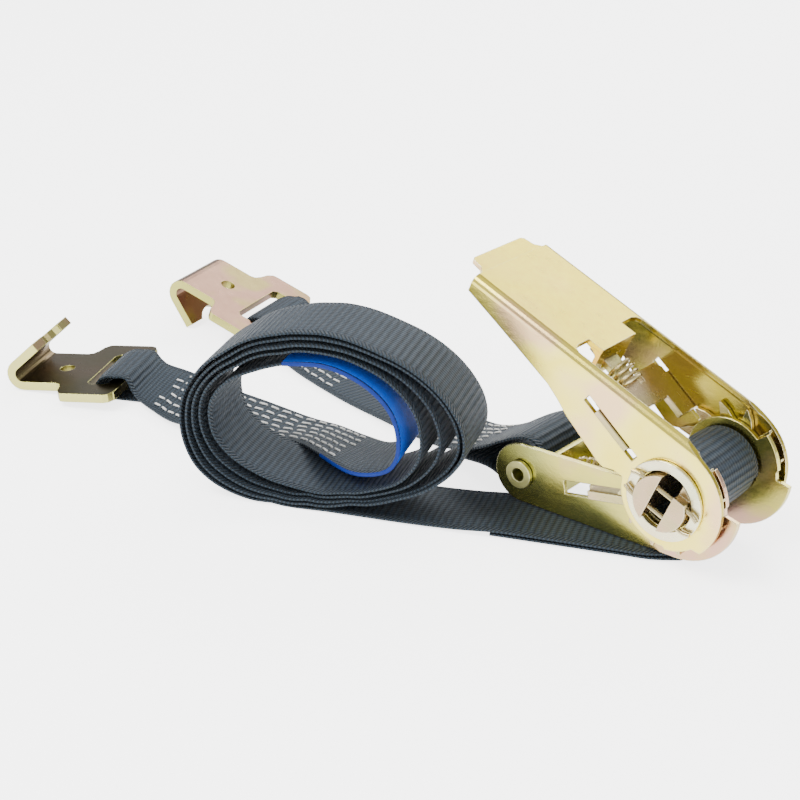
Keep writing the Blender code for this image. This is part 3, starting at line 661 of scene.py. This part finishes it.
stitches_1 = stitching("stitching_hook_1", long_rail,
                       distance_to(long_rail, at_roll(0.0, 24.0, 10.0)),
                       distance_to(long_rail, Vector((-190.0, -26.0, -17.0))))
stitches_2 = stitching("stitching_bolt", short_rail,
                       distance_to(short_rail, Vector((-74.0, 1.0, -9.0)), False),
                       distance_to(short_rail, Vector((-112.0, 14.0, -19.5)), False))
stitches_3 = stitching("stitching_hook_2", short_rail,
                       distance_to(short_rail, Vector((-150.0, 24.0, -20.5)), False),
                       distance_to(short_rail, Vector((-192.0, 41.0, -17.4)), False))

lengths(tail_rail)[-1] * MM
lengths(wound)[-1] * MM

# ---- Floor, light and camera ---------------------------------------------------------------------

bpy.ops.mesh.primitive_plane_add(size=6.0, location=(0, 0, -0.0002))
floor = bpy.context.object
floor.name = "studio_floor"
paper = Nodes("studio_paper")
paper.shader.inputs["Base Color"].default_value = (0.97, 0.97, 0.97, 1.0)
paper.shader.inputs["Roughness"].default_value = 0.9
paper.shader.inputs["Emission Color"].default_value = (1.0, 1.0, 1.0, 1.0)
# The floor glows most where the camera sees it, and least where the webbing would be lit by it.
rays = paper.add("ShaderNodeLightPath").outputs
glow = paper.math("ADD", 1.5, paper.math("MULTIPLY", rays["Is Camera Ray"], 1.6))
glow = paper.math("SUBTRACT", glow, paper.math("MULTIPLY", rays["Is Diffuse Ray"], 1.1))
paper.put(paper.shader.inputs["Emission Strength"], glow)
floor.data.materials.append(paper.material)

world = bpy.data.worlds.new("studio")
bpy.context.scene.world = world
world.use_nodes = True
tree = world.node_tree
background = tree.nodes["Background"]
coordinate = tree.nodes.new("ShaderNodeTexCoord")
split = tree.nodes.new("ShaderNodeSeparateXYZ")
ramp = tree.nodes.new("ShaderNodeValToRGB")
tree.links.new(coordinate.outputs["Generated"], split.inputs[0])
tree.links.new(split.outputs["Z"], ramp.inputs["Fac"])
tree.links.new(ramp.outputs["Color"], background.inputs["Color"])
stops = ramp.color_ramp.elements
stops[1].position = 0.9
stops.new(0.35)
for stop, shade in zip(stops, ((0.80, 0.80, 0.80), (0.55, 0.56, 0.58), (1.0, 1.0, 1.0))):
    stop.color = (*shade, 1.0)
background.inputs["Strength"].default_value = 1.3


def lamp(name, place, aim, size, power):
    """A soft rectangular lamp. Places are in metres."""
    light = bpy.data.lights.new(name, "AREA")
    light.shape = "RECTANGLE"
    light.size, light.size_y = size
    light.energy = power
    obj = bpy.data.objects.new(name, light)
    obj.location = place
    obj.rotation_mode = "QUATERNION"
    obj.rotation_quaternion = (Vector(aim) - Vector(place)).to_track_quat("-Z", "Y")
    bpy.context.scene.collection.objects.link(obj)


lamp("key", (-0.35, -0.55, 0.95), (0.0, 0.0, 0.02), (0.7, 0.5), 15.0)
lamp("fill", (0.85, -0.45, 0.45), (0.05, 0.0, 0.03), (0.5, 0.6), 5.0)
lamp("back", (-0.2, 0.9, 0.7), (0.0, 0.0, 0.03), (1.1, 0.4), 9.0)

CAMERA_PLACE = Vector((227.3, -407.3, 229.0))
LENS = 81.6
azimuth, elevation = math.radians(39.66), math.radians(24.12)
back = Vector((math.sin(azimuth) * math.cos(elevation), -math.cos(azimuth) * math.cos(elevation),
               math.sin(elevation)))
camera = bpy.data.objects.new("camera", bpy.data.cameras.new("camera"))
camera.data.sensor_width = 36.0
camera.data.lens = LENS
camera.data.clip_start = 0.01
camera.location = (HUB + CAMERA_PLACE) * MM
camera.rotation_mode = "QUATERNION"
camera.rotation_quaternion = (-back).to_track_quat("-Z", "Y")
bpy.context.scene.collection.objects.link(camera)
bpy.context.scene.camera = camera
